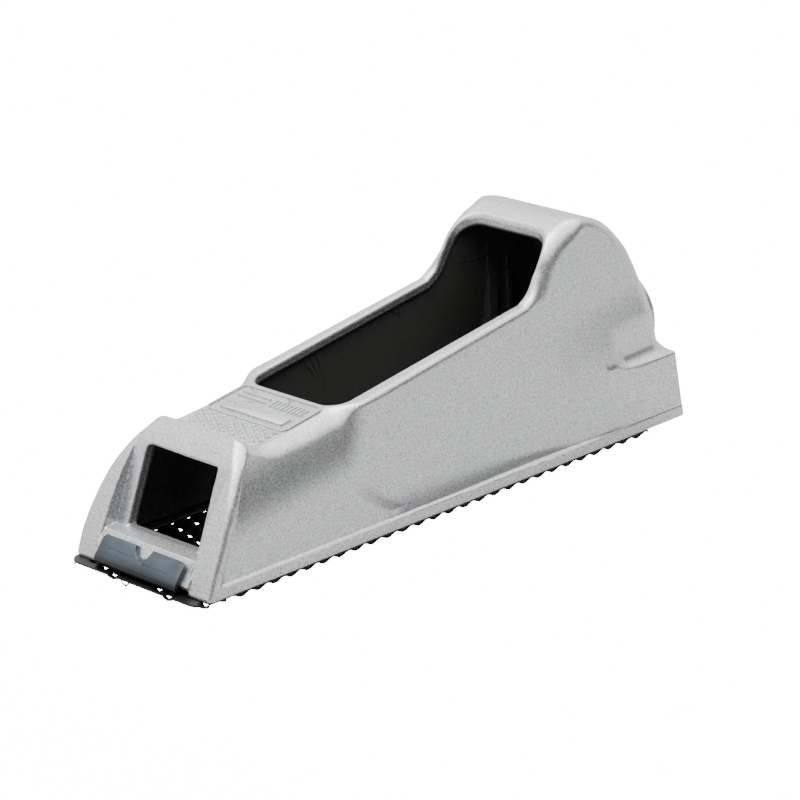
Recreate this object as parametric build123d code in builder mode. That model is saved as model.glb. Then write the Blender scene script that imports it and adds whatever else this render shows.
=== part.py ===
"""Shaping plane with a perforated rasp blade.

A die-cast body carries a thin toothed blade on its sole.  The blade hooks over a
bar at the toe and is drawn tight by a screw at the heel.

Frame: +X from toe to heel, +Z up, origin at the middle of the footprint, on the
plane of the tooth tips.  Every size is in millimetres.
"""
import os
from math import hypot

from build123d import *

os.makedirs("parts", exist_ok=True)

# ---------------------------------------------------------------- driving sizes
BODY_LENGTH = 152.2        # casting, toe to heel along the sole
BODY_WIDTH = 44.0          # casting, across the bottom ledge
DECK_HEIGHT = 29.65        # rim above the sole, at the front of the top opening
RIM_RISE = 9.05            # rim climbs this much by the foot of the hump
HUMP_HEIGHT = 54.75        # top of the palm rest above the sole
HUMP_LENGTH = 49.2         # from the end of the rim to the heel
CROWN_RADIUS = 5.0         # shoulders of the palm rest
LIP_HEIGHT = 29.1          # finger stop above the sole
WALL = 2.7                 # side walls and roof
SIDE_LEAN = 5.6            # how far each side leans in by the top of the hump

LEDGE_HEIGHT = 2.5         # raised band along the bottom of the sides
LEDGE_PROUD = 0.8

FACE_REACH = 18.2          # the nose face leans back this far by the lip
FACE_BULGE = 2.5           # and is this much rounder than a flat face
LIP_DEPTH = 1.3
LIP_RAMP = 5.0             # behind the lip, down to the deck
LIP_HALF_WIDTH = 13.5

WINDOW_WIDTH = 22.8        # chip window in the nose
WINDOW_SILL = 7.4
WINDOW_TOP = 24.3
PANEL_FOOT = 3.3           # recessed panel round the window, at the sole
PANEL_RUN = 0.415          # and how far it leans back for each millimetre up
PANEL_HALF_WIDTH = 15.0

OPENING_FRONT = 45.5       # top opening, from the toe
OPENING_REAR = 36.9        # and from the heel
OPENING_WIDTH = 28.4
OPENING_FRONT_RADIUS = 4.7
OPENING_REAR_RADIUS = 6.2

HEEL_LAND = 10.6           # solid end of the sole, behind the blade
BACK_WALL = 5.0            # back of the hump, where the screw passes
BAR_DEPTH = 8.6            # hook bar at the toe, front to back

BLADE_WIDTH = 42.8
BLADE_THICKNESS = 0.7
BLADE_OVERHANG = 2.8       # blade in front of the casting
BLADE_CORNER = 3.5
TOOTH_DROP = 1.0           # tooth tips under the blade
TOOTH_PITCH = 4.845
TOOTH_LENGTH = 2.4
FIRST_TOOTH = 0.86          # from the blade's front edge to the first tooth
LAST_TOOTH = 0.5            # and least from the last one to its rear edge
TOOTH_WIDTH = 2.0
TOOTH_LAND = 0.5            # flat under each cutting edge
TOOTH_ROOT = 0.4            # a tooth grows out of the blade over this length
TOOTH_TIP = 0.4             # height of the cutting edge
COLUMN_COUNT = 10
COLUMN_PITCH = 4.5
COLUMN_SHIFT = 1.3         # each column starts this much further back

ANCHOR_THICKNESS = 1.0
ANCHOR_WIDTH = 26.3
ANCHOR_HEIGHT = 6.9
ANCHOR_SLOPE = 4.8         # the hooked leg leans in by this much
ANCHOR_FOOT = 11.0         # leg spot-welded to the blade, from the fold
ANCHOR_FOLD = 2.9          # the front fold, in front of the casting
CURL_RADIUS = 1.3
NOTCH_RADIUS = 2.7
ANCHOR_GAP = 0.1           # between a hooked leg and what it hooks over

BOSS_RADIUS = 12.0
BOSS_PROUD = 1.2           # boss face behind the heel
BOSS_HEIGHT = 21.0         # screw axis above the sole
SCREW_RADIUS = 2.0
SCREW_LENGTH = 27.0
HEAD_RADIUS = 4.0
HEAD_HEIGHT = 2.6
HEAD_SLOT = 1.0
WASHER_RADIUS = 4.6
WASHER_THICKNESS = 0.8
SCREW_CLEARANCE = 0.3      # in the plain holes
THREAD_CLEARANCE = 0.05    # between the screw and the nut
HEAD_SUNK = 0.4            # head below the boss face
COUNTERBORE_CLEARANCE = 0.6

HOOK_THICKNESS = 2.0
HOOK_WIDTH = 18.0
HOOK_TOP = 6.0             # hook plate above the screw axis
NUT_SIZE = 8.0
NUT_HEIGHT = 3.2

# ------------------------------------------------------------- places that follow
OVERALL_LENGTH = BLADE_OVERHANG + BODY_LENGTH + BOSS_PROUD
SOLE = TOOTH_DROP + BLADE_THICKNESS
TOE = BLADE_OVERHANG - OVERALL_LENGTH / 2
HEEL = TOE + BODY_LENGTH
HALF = BODY_WIDTH / 2
BOSS_FACE = HEEL + BOSS_PROUD
SCREW_Z = SOLE + BOSS_HEIGHT
RIM_END = HEEL - HUMP_LENGTH                   # where the rim starts up the hump
DECK_SLOPE = RIM_RISE / (RIM_END - TOE - OPENING_FRONT)
BLADE_FRONT = TOE - BLADE_OVERHANG
BLADE_REAR = HEEL - HEEL_LAND
TOP = SOLE + HUMP_HEIGHT
FRONT_KNEE = TOE - ANCHOR_FOLD
REAR_KNEE = BLADE_REAR - 0.8
HOOK_CLEAR = ANCHOR_THICKNESS + ANCHOR_GAP
HOOKED_RADIUS = CURL_RADIUS - ANCHOR_THICKNESS / 2 - ANCHOR_GAP


def deck_z(x):
    """Height of the deck and rim at a place along the body."""
    return SOLE + DECK_HEIGHT + DECK_SLOPE * (x - TOE - OPENING_FRONT)


def hooked_face(knee_x, side, height):
    """Where a hooked leg bears, at a height above the sole; side +1 opens to the heel."""
    rise = ANCHOR_HEIGHT - ANCHOR_THICKNESS
    half = ANCHOR_THICKNESS / 2
    slant = hypot(ANCHOR_SLOPE, rise) / rise
    run = (height - half) * ANCHOR_SLOPE / rise
    return knee_x + side * (run + (half + ANCHOR_GAP) * slant)


def panel_x(height):
    """Front of the recessed window panel at a height above the sole."""
    return TOE + PANEL_FOOT + PANEL_RUN * height


def hump_points(inset):
    """Hump from the rim over the top and down to the heel foot, inset by a wall."""
    rim = SOLE + DECK_HEIGHT + RIM_RISE
    rise = TOP - rim
    # Share of the hump's length behind the rim's end, and share of its rise.
    shape = [
        (0.0, 0.0),
        (0.065, 0.118),
        (0.159, 0.592),
        (0.285, 0.934),
        (0.366, 1.0),
        (0.549, 0.835),
        (0.711, 0.523),
        (0.843, 0.019),
        (0.927, -0.7),
        (0.957, -1.1),
    ]
    points = [(RIM_END + along * HUMP_LENGTH, rim + up * rise) for along, up in shape]
    inset_points = []
    for i, (x, z) in enumerate(points):
        before = points[max(i - 1, 0)]
        after = points[min(i + 1, len(points) - 1)]
        run, climb = after[0] - before[0], after[1] - before[1]
        slant = hypot(run, climb)
        inset_points.append((x + inset * climb / slant, z - inset * run / slant))
    return inset_points


# The front view of the casting: a ledge, then sides that lean in.
def side_outline(inset):
    """Half the front view, from the bottom up, inset by a wall."""
    ledge = inset or LEDGE_PROUD
    return [
        (HALF - inset, SOLE),
        (HALF - inset, SOLE + LEDGE_HEIGHT),
        (HALF - ledge, SOLE + LEDGE_HEIGHT + LEDGE_PROUD / 2),
        (HALF - ledge - SIDE_LEAN, TOP + 1),
    ]


# ------------------------------------------------------------------------- cavity
CAVITY_FLOOR = SOLE - 1
CAVITY_FRONT = TOE + BAR_DEPTH
PANEL_WALL = WALL + 0.2
cavity_roof_front = panel_x(WINDOW_TOP) + PANEL_WALL
cavity_back = HEEL - 1.2 - BACK_WALL

with BuildPart() as cavity:
    with BuildSketch(Plane.XZ):
        with BuildLine():
            hump = hump_points(WALL)
            Polyline(
                hump[-1],
                (cavity_back, SOLE + BOSS_HEIGHT - BOSS_RADIUS / 2),
                (BLADE_REAR + ANCHOR_GAP, SOLE + HEEL_LAND),
                (BLADE_REAR + ANCHOR_GAP, CAVITY_FLOOR),
                (CAVITY_FRONT, CAVITY_FLOOR),
                (CAVITY_FRONT, SOLE + WINDOW_SILL),
                (cavity_roof_front, deck_z(cavity_roof_front) - WALL),
                hump[0],
            )
            Spline(*hump)
        make_face()
    extrude(amount=HALF, both=True)
    inner = [(y, z - 2 if i == 0 else z) for i, (y, z) in enumerate(side_outline(WALL))]
    with BuildSketch(Plane.YZ):
        with BuildLine():
            Polyline(*inner, *[(-y, z) for y, z in reversed(inner)], close=True)
        make_face()
    extrude(amount=OVERALL_LENGTH, both=True, mode=Mode.INTERSECT)

# --------------------------------------------------------------------------- body
LIP_X = TOE + FACE_REACH
LIP_Z = SOLE + LIP_HEIGHT
RAMP_END = LIP_X + LIP_DEPTH + LIP_RAMP
FOOT_Z = SOLE + 17.5

with BuildPart() as body:
    # Side view, extruded across.
    with BuildSketch(Plane.XZ):
        with BuildLine():
            hump = hump_points(0)
            ThreePointArc(
                (TOE, SOLE + LEDGE_HEIGHT),
                (TOE + FACE_REACH / 2 - FACE_BULGE * 0.8, SOLE + LIP_HEIGHT / 2 + FACE_BULGE * 0.6),
                (LIP_X, LIP_Z),
            )
            Polyline(
                (LIP_X, LIP_Z),
                (LIP_X + LIP_DEPTH, LIP_Z),
                (RAMP_END, deck_z(RAMP_END)),
                hump[0],
            )
            Spline(*hump)
            Polyline(
                hump[-1],
                (HEEL - 2.9, FOOT_Z),
                (HEEL, SOLE + LEDGE_HEIGHT),
                (HEEL, SOLE),
                (TOE, SOLE),
                (TOE, SOLE + LEDGE_HEIGHT),
            )
        make_face()
    extrude(amount=HALF, both=True)
    outline = side_outline(0)
    with BuildSketch(Plane.YZ):
        with BuildLine():
            Polyline(*outline, *[(-y, z) for y, z in reversed(outline)], close=True)
        make_face()
    extrude(amount=OVERALL_LENGTH, both=True, mode=Mode.INTERSECT)

    # Round shoulders of the palm rest.
    crown = body.edges().filter_by_position(Axis.Z, SOLE + DECK_HEIGHT + RIM_RISE + 3, TOP + 1)
    crown = crown.filter_by(lambda e: abs(e.center().Y) > HALF / 2)
    fillet(crown, radius=CROWN_RADIUS)

    # The nose narrows towards the finger stop, as an arch.
    with BuildSketch(Plane.YZ.offset(TOE - 1)):
        with BuildLine():
            arch = ThreePointArc(
                (HALF, SOLE + LEDGE_HEIGHT),
                (HALF - 2.5, SOLE + LIP_HEIGHT * 0.66),
                (LIP_HALF_WIDTH, LIP_Z),
            )
            Polyline(arch @ 1, (LIP_HALF_WIDTH, LIP_Z + 1), (HALF + 1, LIP_Z + 1))
            Polyline((HALF + 1, LIP_Z + 1), (HALF + 1, SOLE + LEDGE_HEIGHT), arch @ 0)
        make_face()
        mirror(about=Plane.YZ)
    extrude(amount=1 + FACE_REACH + LIP_DEPTH + LIP_RAMP, mode=Mode.SUBTRACT)

    # Recessed panel round the window.
    with BuildSketch(Plane.XZ):
        with BuildLine():
            panel_top = WINDOW_TOP + 2
            Polyline(
                (TOE - 5, SOLE - 1),
                (panel_x(-1), SOLE - 1),
                (panel_x(panel_top), SOLE + panel_top),
                (TOE - 5, SOLE + panel_top),
                close=True,
            )
        make_face()
    extrude(amount=PANEL_HALF_WIDTH, both=True, mode=Mode.SUBTRACT)

    # Screw boss on the back, with its pad inside.
    with BuildSketch(Plane.YZ.offset(cavity_back - 1)):
        with Locations((0, SCREW_Z)):
            Circle(BOSS_RADIUS)
    extrude(amount=BOSS_FACE - cavity_back + 1)

    add(cavity.part, mode=Mode.SUBTRACT)

    # Window through the nose.
    with BuildSketch(Plane.XZ):
        with BuildLine():
            Polyline(
                (TOE - 1, SOLE + WINDOW_SILL),
                (CAVITY_FRONT + 1, SOLE + WINDOW_SILL),
                (cavity_roof_front + 1, SOLE + WINDOW_TOP - 3),
                (panel_x(WINDOW_TOP) - 1, SOLE + WINDOW_TOP),
                (TOE - 1, SOLE + WINDOW_TOP),
                close=True,
            )
        make_face()
    extrude(amount=WINDOW_WIDTH / 2, both=True, mode=Mode.SUBTRACT)

    # Hook bar between the cheeks.
    with BuildSketch(Plane.XZ) as bar_section:
        with BuildLine():
            Polyline(
                (hooked_face(FRONT_KNEE, 1, ANCHOR_HEIGHT), SOLE + ANCHOR_HEIGHT),
                (panel_x(WINDOW_SILL), SOLE + WINDOW_SILL),
                (CAVITY_FRONT, SOLE + WINDOW_SILL),
                (CAVITY_FRONT, SOLE + HOOK_CLEAR),
                (hooked_face(FRONT_KNEE, 1, HOOK_CLEAR), SOLE + HOOK_CLEAR),
                close=True,
            )
        make_face()
        fillet(bar_section.vertices().sort_by(Axis.X)[0], radius=HOOKED_RADIUS)
    extrude(amount=PANEL_HALF_WIDTH, both=True)

    # Clearance under the bar for the anchor's foot.
    with BuildSketch(Plane.XY.offset(SOLE - 1)):
        with Locations((TOE + BAR_DEPTH / 2, 0)):
            Rectangle(BAR_DEPTH + 10, ANCHOR_WIDTH + 4)
    extrude(amount=1 + HOOK_CLEAR, mode=Mode.SUBTRACT)

    # Top opening.
    opening_rear = HEEL - OPENING_REAR
    opening_front = TOE + OPENING_FRONT
    with BuildSketch(Plane.XY.offset(SOLE + WINDOW_TOP - 3)) as opening:
        with Locations(((opening_front + opening_rear) / 2, 0)):
            Rectangle(opening_rear - opening_front, OPENING_WIDTH)
        front_corners = opening.vertices().group_by(Axis.X)[0]
        fillet(front_corners, radius=OPENING_FRONT_RADIUS)
        rear_corners = opening.vertices().group_by(Axis.X)[-1]
        fillet(rear_corners, radius=OPENING_REAR_RADIUS)
    extrude(amount=HUMP_HEIGHT, mode=Mode.SUBTRACT)

    # Screw hole, counterbored for the head and its washer.
    seat_depth = HEAD_SUNK + HEAD_HEIGHT + WASHER_THICKNESS
    with Locations(Plane((BOSS_FACE, 0, SCREW_Z), z_dir=(1, 0, 0))):
        CounterBoreHole(
            radius=SCREW_RADIUS + SCREW_CLEARANCE,
            counter_bore_radius=WASHER_RADIUS + COUNTERBORE_CLEARANCE,
            counter_bore_depth=seat_depth,
            depth=BACK_WALL * 4,
        )

# -------------------------------------------------------------------------- blade
BLADE_Z = TOOTH_DROP


def tooth_places():
    """Where each tooth starts, column by column across the blade."""
    places = []
    for column in range(COLUMN_COUNT):
        y = (column - (COLUMN_COUNT - 1) / 2) * COLUMN_PITCH
        x = BLADE_FRONT + FIRST_TOOTH + (column * COLUMN_SHIFT) % TOOTH_PITCH
        while x + TOOTH_LENGTH < BLADE_REAR - LAST_TOOTH:
            places.append((x, y))
            x += TOOTH_PITCH
    return places


def on_corner(x, y):
    """True where a tooth would break out through a rounded corner of the blade."""
    near_end = x < BLADE_FRONT + BLADE_CORNER
    return near_end and abs(y) + TOOTH_WIDTH / 2 > BLADE_WIDTH / 2 - BLADE_CORNER / 2


teeth = [(x, y) for x, y in tooth_places() if not on_corner(x, y)]

with BuildPart() as blade:
    with BuildSketch(Plane.XY.offset(BLADE_Z)) as sheet:
        with Locations(((BLADE_FRONT + BLADE_REAR) / 2, 0)):
            Rectangle(BLADE_REAR - BLADE_FRONT, BLADE_WIDTH)
        fillet(sheet.vertices(), radius=BLADE_CORNER)
        with Locations(*[(x + TOOTH_LENGTH / 2, y) for x, y in teeth]):
            Rectangle(TOOTH_LENGTH, TOOTH_WIDTH, mode=Mode.SUBTRACT)
    extrude(amount=BLADE_THICKNESS)
    # Each tooth is a small ramp, deepest at its cutting edge towards the heel.
    with BuildSketch(Plane.XZ) as ramps:
        with BuildLine():
            Polyline(
                (TOOTH_LENGTH, BLADE_Z - TOOTH_DROP),
                (TOOTH_LENGTH - TOOTH_LAND, BLADE_Z - TOOTH_DROP),
                (-TOOTH_ROOT, BLADE_Z + BLADE_THICKNESS * 0.4),
                (0, BLADE_Z + BLADE_THICKNESS),
                (TOOTH_LENGTH, BLADE_Z - TOOTH_DROP + TOOTH_TIP),
                close=True,
            )
        make_face()
    ramp = extrude(ramps.sketch, amount=TOOTH_WIDTH / 2, both=True, mode=Mode.PRIVATE)
    with Locations(*[(x, y, 0) for x, y in teeth]):
        add(ramp)


# ------------------------------------------------------------------------ anchors
def anchor_line(knee_x, side):
    """Centre line of a hooked strip; side is +1 where it opens towards the heel."""
    half = ANCHOR_THICKNESS / 2
    return [
        (knee_x + side * ANCHOR_SLOPE, SOLE + ANCHOR_HEIGHT - half),
        (knee_x, SOLE + half),
        (knee_x + side * ANCHOR_FOOT, SOLE + half),
    ]


with BuildPart() as front_anchor:
    with BuildSketch(Plane.XZ):
        with BuildLine():
            FilletPolyline(*anchor_line(FRONT_KNEE, 1), radius=CURL_RADIUS)
        trace(line_width=ANCHOR_THICKNESS)
    extrude(amount=ANCHOR_WIDTH / 2, both=True)
    # Half-round notch in the middle of the hooked edge.
    with BuildSketch(Plane.YZ.offset(FRONT_KNEE)):
        with Locations((0, SOLE + ANCHOR_HEIGHT + 0.2)):
            Circle(NOTCH_RADIUS)
    extrude(amount=ANCHOR_FOOT, mode=Mode.SUBTRACT)

with BuildPart() as rear_anchor:
    with BuildSketch(Plane.XZ):
        with BuildLine():
            FilletPolyline(*anchor_line(REAR_KNEE, -1), radius=CURL_RADIUS)
        trace(line_width=ANCHOR_THICKNESS)
    extrude(amount=ANCHOR_WIDTH / 2, both=True)

# ------------------------------------------------------------- screw, washer, nut
SEAT_X = BOSS_FACE - seat_depth
HEAD_X = SEAT_X + WASHER_THICKNESS
SCREW_TIP = HEAD_X - SCREW_LENGTH
HOOK_REAR = REAR_KNEE - ANCHOR_SLOPE - ANCHOR_THICKNESS - 0.6
HOOK_FRONT = HOOK_REAR - HOOK_THICKNESS

with BuildPart() as tension_screw:
    with BuildSketch(Plane.YZ.offset(HEAD_X)):
        with Locations((0, SCREW_Z)):
            Circle(HEAD_RADIUS)
    extrude(amount=HEAD_HEIGHT)
    fillet(tension_screw.edges().sort_by(Axis.X)[-1], radius=HEAD_HEIGHT * 0.4)
    with BuildSketch(Plane.YZ.offset(HEAD_X + HEAD_HEIGHT / 2)):
        with Locations((0, SCREW_Z)):
            Rectangle(HEAD_RADIUS * 2 + 1, HEAD_SLOT)
    extrude(amount=HEAD_HEIGHT, mode=Mode.SUBTRACT)
    with BuildSketch(Plane.YZ.offset(SCREW_TIP)):
        with Locations((0, SCREW_Z)):
            Circle(SCREW_RADIUS)
    extrude(amount=SCREW_LENGTH)
    chamfer(tension_screw.edges().sort_by(Axis.X)[0], length=SCREW_RADIUS * 0.3)

with BuildPart() as screw_washer:
    with BuildSketch(Plane.YZ.offset(SEAT_X)):
        with Locations((0, SCREW_Z)):
            Circle(WASHER_RADIUS)
            Circle(SCREW_RADIUS + SCREW_CLEARANCE / 2, mode=Mode.SUBTRACT)
    extrude(amount=WASHER_THICKNESS)

with BuildPart() as tension_nut:
    with BuildSketch(Plane.YZ.offset(HOOK_FRONT - NUT_HEIGHT)):
        with Locations((0, SCREW_Z)):
            Rectangle(NUT_SIZE, NUT_SIZE)
            Circle(SCREW_RADIUS + THREAD_CLEARANCE, mode=Mode.SUBTRACT)
    extrude(amount=NUT_HEIGHT)
    chamfer(tension_nut.edges().filter_by(Axis.X), length=NUT_SIZE * 0.06)

# ------------------------------------------------------------------- tension hook
FOOT_TOP = HOOK_CLEAR + HOOK_THICKNESS

with BuildPart() as tension_hook:
    with BuildSketch(Plane.XZ) as hook_section:
        with BuildLine():
            Polyline(
                (HOOK_FRONT, SCREW_Z + HOOK_TOP),
                (HOOK_FRONT, SOLE + HOOK_CLEAR),
                (hooked_face(REAR_KNEE, -1, HOOK_CLEAR), SOLE + HOOK_CLEAR),
                (hooked_face(REAR_KNEE, -1, FOOT_TOP), SOLE + FOOT_TOP),
                (HOOK_REAR, SOLE + FOOT_TOP),
                (HOOK_REAR, SCREW_Z + HOOK_TOP),
                close=True,
            )
        make_face()
        fillet(hook_section.vertices().sort_by(Axis.X)[-1], radius=HOOKED_RADIUS)
    extrude(amount=HOOK_WIDTH / 2, both=True)
    top_corners = tension_hook.edges().filter_by(Axis.X).group_by(Axis.Z)[-1]
    fillet(top_corners, radius=HOOK_WIDTH * 0.28)
    with Locations(Plane((HOOK_REAR, 0, SCREW_Z), z_dir=(1, 0, 0))):
        Hole(radius=SCREW_RADIUS + SCREW_CLEARANCE, depth=HOOK_THICKNESS * 2)

# -------------------------------------------------------------------------- files
pieces = {
    "body": body,
    "blade": blade,
    "front_anchor": front_anchor,
    "rear_anchor": rear_anchor,
    "tension_hook": tension_hook,
    "tension_screw": tension_screw,
    "screw_washer": screw_washer,
    "tension_nut": tension_nut,
}
for name, piece in pieces.items():
    piece.part.label = name
    export_step(piece.part, f"parts/{name}.step")
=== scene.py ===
"""Looks of the shaping plane: casting, rasp blade, hooked strips and screw."""
import math

import bmesh
import bpy
import numpy as np
from mathutils import Matrix, Vector


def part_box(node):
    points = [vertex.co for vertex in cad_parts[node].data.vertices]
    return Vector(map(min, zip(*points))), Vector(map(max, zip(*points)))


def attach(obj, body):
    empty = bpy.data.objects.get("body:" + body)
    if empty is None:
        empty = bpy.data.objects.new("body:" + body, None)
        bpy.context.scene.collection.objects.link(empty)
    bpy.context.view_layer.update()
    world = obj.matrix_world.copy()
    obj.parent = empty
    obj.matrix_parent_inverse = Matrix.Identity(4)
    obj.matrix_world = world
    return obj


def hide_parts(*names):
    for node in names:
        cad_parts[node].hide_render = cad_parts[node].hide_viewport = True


MM = 0.001

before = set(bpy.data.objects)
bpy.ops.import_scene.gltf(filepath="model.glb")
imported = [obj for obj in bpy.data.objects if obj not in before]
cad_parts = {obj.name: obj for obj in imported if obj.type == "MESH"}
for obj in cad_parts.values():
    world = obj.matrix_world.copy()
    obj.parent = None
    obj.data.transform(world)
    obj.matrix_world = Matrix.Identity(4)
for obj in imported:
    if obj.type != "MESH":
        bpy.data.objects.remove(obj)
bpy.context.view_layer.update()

# ------------------------------------------------------------------ places, in mm
body_low, body_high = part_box("body")
blade_low, blade_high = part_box("blade")
screw_low, screw_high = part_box("tension_screw")

SOLE = body_low.z / MM                 # plane that the blade lies on
SHANK_R = 2.0
BOSS_PROUD = 1.2
HEEL = body_high.x / MM - BOSS_PROUD
BODY_LENGTH = 152.2
TOE = HEEL - BODY_LENGTH
SCREW_Z = (screw_low.z + screw_high.z) / 2 / MM - SOLE


# --------------------------------------------------------------- the casting's form
# Lengths here are from the toe (x), from the middle (y) and above the sole (z).
WALL = 2.7
LEDGE = 2.6
OPEN_FRONT = 45.5
OPEN_REAR = 115.9
OPEN_HALF = 14.2
RIM_Z = 29.65
RIM_SLOPE = 0.157
WINDOW_HALF = 11.4
SILL = 7.4
WINDOW_TOP = 24.3
CHEEK_Y = 15.0
BOSS_R = 12.0
PAINT_REACH = 1.7                      # silver paint wraps this far in over an edge
CASTING_STEP = 0.34
CASTING_TRIANGLES = 188000


def smooth(value, low, high):
    t = np.clip((value - low) / (high - low), 0, 1)
    return t * t * (3 - 2 * t)


def round_and(a, b, r):
    """Common part of two forms, with its edge rounded to radius r."""
    return np.minimum(np.maximum(a, b), -r) + np.hypot(np.maximum(a + r, 0), np.maximum(b + r, 0))


def round_or(a, b, r):
    """Two forms joined, with a fillet of radius r between them."""
    return -round_and(-a, -b, r)


def curve(points, steps=10):
    """Smooth line through points, as a Catmull-Rom curve."""
    p = np.array([points[0], *points, points[-1]], float)
    out = []
    for i in range(1, len(p) - 2):
        for t in np.linspace(0, 1, steps, endpoint=False):
            a, b, c, d = p[i - 1], p[i], p[i + 1], p[i + 2]
            out.append(0.5 * (2 * b + (c - a) * t + (2 * a - 5 * b + 4 * c - d) * t * t
                              + (3 * b - a - 3 * c + d) * t ** 3))
    out.append(p[-1])
    return [tuple(q) for q in out]


def outline_distance(x, z, points):
    """Signed distance in side view to a closed outline, negative inside."""
    best = np.full(np.broadcast(x, z).shape, 1e9)
    inside = np.zeros(best.shape, bool)
    for (ax, az), (bx, bz) in zip(points, points[1:] + points[:1]):
        ex, ez = bx - ax, bz - az
        wx, wz = x - ax, z - az
        t = np.clip((wx * ex + wz * ez) / (ex * ex + ez * ez), 0, 1)
        best = np.minimum(best, (wx - ex * t) ** 2 + (wz - ez * t) ** 2)
        if bz != az:
            crosses = ((az > z) != (bz > z)) & (x < ex * (z - az) / ez + ax)
            inside ^= crosses
    best = np.sqrt(best)
    return np.where(inside, -best, best)


def deck(x):
    return RIM_Z + RIM_SLOPE * (x - OPEN_FRONT)


NOSE = curve([(-0.1, 0.8), (1.9, 6.0), (4.4, 11.0), (7.2, 16.0), (10.6, 21.0), (14.5, 25.5), (18.3, 29.2)])
HUMP = curve([
    (103.0, deck(103.0)), (106.0, 40.8), (108.4, 44.8), (110.6, 48.4), (113.7, 51.2), (117.4, 53.2),
    (122.0, 54.5), (126.6, 53.8), (130.6, 52.3), (134.6, 50.1), (138.4, 47.1), (141.8, 43.6),
    (144.5, 39.0), (146.8, 33.5), (148.6, 27.5), (150.0, 21.0), (150.6, 15.0),
])
SIDE_VIEW = (
    [(0.0, -6.0)] + NOSE
    + curve([(18.3, 29.2), (19.3, 29.1), (20.6, 28.0), (22.6, 26.6), (25.0, deck(25.0))], 6)[1:]
    + HUMP + [(151.0, -6.0)]
)
FOOT = [(126.0, -6.0), (126.0, 16.6), (149.6, 16.9), (152.2, 1.0), (152.2, -6.0)]
FOOT_HALF = 21.6
ARCH = np.array([
    (0.0, 22.0), (6.1, 21.95), (10.3, 21.5), (14.7, 20.7), (18.4, 19.8), (20.5, 19.0), (22.6, 18.0),
    (24.9, 16.8), (27.0, 15.3), (28.5, 14.1), (30.0, 12.6),
])
NOSE_LINE = np.array(NOSE)


def half_width(x, z):
    """Half the outside width at a place in side view."""
    below = deck(x) - z
    roll = np.clip(15.0 - below, 0, 20) / 15.0
    front = 21.1 - 0.06 * (z - 3) - 4.6 * roll ** 2
    flare_top = 9.0 - 5.0 * smooth(x, 60, 125)
    flare = np.clip((flare_top - z) / (flare_top - LEDGE), 0, 1) ** 2
    rear = 20.45 - 0.072 * z + 1.1 * flare * (1 - smooth(x, 95, 128))
    rear = rear + 0.7 * smooth(x, 100, 135) * (1 - smooth(z, 14, 34))
    bend = np.clip((z - 4.6) / 7.4, 0, 1)
    crease = 57.0 - 10.0 * bend ** 0.7
    blur = 3.2 + 1.6 * smooth(z, 10, 26)
    w = front + (rear - front) * smooth(x, crease - blur, crease + blur)
    arch = np.interp(z, ARCH[:, 0], ARCH[:, 1])
    face = np.interp(z, NOSE_LINE[:, 1], NOSE_LINE[:, 0])
    past = x - face
    w = np.minimum(w, arch + 0.3 * np.maximum(past - 2.0, 0))
    w = arch + (w - arch) * smooth(past, 2.2, 3.9)
    # Proud ledge along the bottom; it melts into the side towards the heel.
    ledge = 22.0 - 0.25 * smooth(x, 110, 150)
    on_ledge = 1 - smooth(z, LEDGE - 0.25, LEDGE + 0.45 + 1.2 * smooth(x, 110, 150))
    return np.maximum(w, w + (ledge - w) * on_ledge)


def rounding(x, z):
    """Edge radius between the sides and the rest of the outside."""
    r = 1.3 + 2.1 * smooth(x, 18, 27) * (1 - smooth(x, 44, 50))
    r = r + 0.9 * smooth(z, 23, 28) * (1 - smooth(x, 19, 26))
    r = r - 0.4 * smooth(x, 44, 50)
    r = r + 0.5 * smooth(x, 48, 56)
    r = r + 2.6 * smooth(x, 105, 110) * (1 - smooth(x, 119, 124))
    r = r + 0.8 * smooth(x, 119, 124) + 4.5 * smooth(x, 126, 144)
    return r


def outer(x, y, z):
    """The casting's outside, as one closed form that runs on below the sole."""
    # The deck's shoulders stand a little higher than its middle just behind the lip.
    lift = 0.8 * smooth(np.abs(y), 11.5, 14) * smooth(x, 17.5, 22) * (1 - smooth(x, 24, 36))
    profile = outline_distance(x, z - lift, SIDE_VIEW)
    w = half_width(x, z)
    # Behind a soft crease the flanks draw in towards the heel, most of all just above the foot.
    past = x - 129.5 + 0.21 * (z - 16.4)
    w_foot = w + np.maximum(FOOT_HALF - w, 0) * smooth(x, 95, 145)
    w_side = w_foot + (w - w_foot) * smooth(z, 10, 36)
    scoop = 0.075 * np.maximum(past, 0) + 1.3 * smooth(past, 0, 5) * (1 - smooth(z, 19, 28))
    w_side = w_side - scoop * smooth(z, 5, 9)
    main = round_and(profile, np.abs(y) - w_side, rounding(x, z))
    foot = round_and(outline_distance(x, z, FOOT), np.abs(y) - w_foot, 0.8)
    foot = np.maximum(foot, 128.0 - x)
    boss = round_and(np.hypot(y, z - SCREW_Z) - BOSS_R, x - (BODY_LENGTH + BOSS_PROUD), 0.7)
    boss = np.maximum(boss, 140.0 - x)
    both = np.maximum(round_or(main, foot, 2.6), np.abs(y) - np.maximum(w, w_foot))
    return round_or(both, boss, 0.8)


def box_distance(u, v, half_u, half_v, r):
    du, dv = np.abs(u) - half_u + r, np.abs(v) - half_v + r
    return np.minimum(np.maximum(du, dv), 0) + np.hypot(np.maximum(du, 0), np.maximum(dv, 0)) - r


def behind_panel(x, z):
    """Distance behind the recessed panel that the chip window is in."""
    return (x - (3.3 + 0.415 * z)) / math.hypot(1, 0.415)


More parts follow.
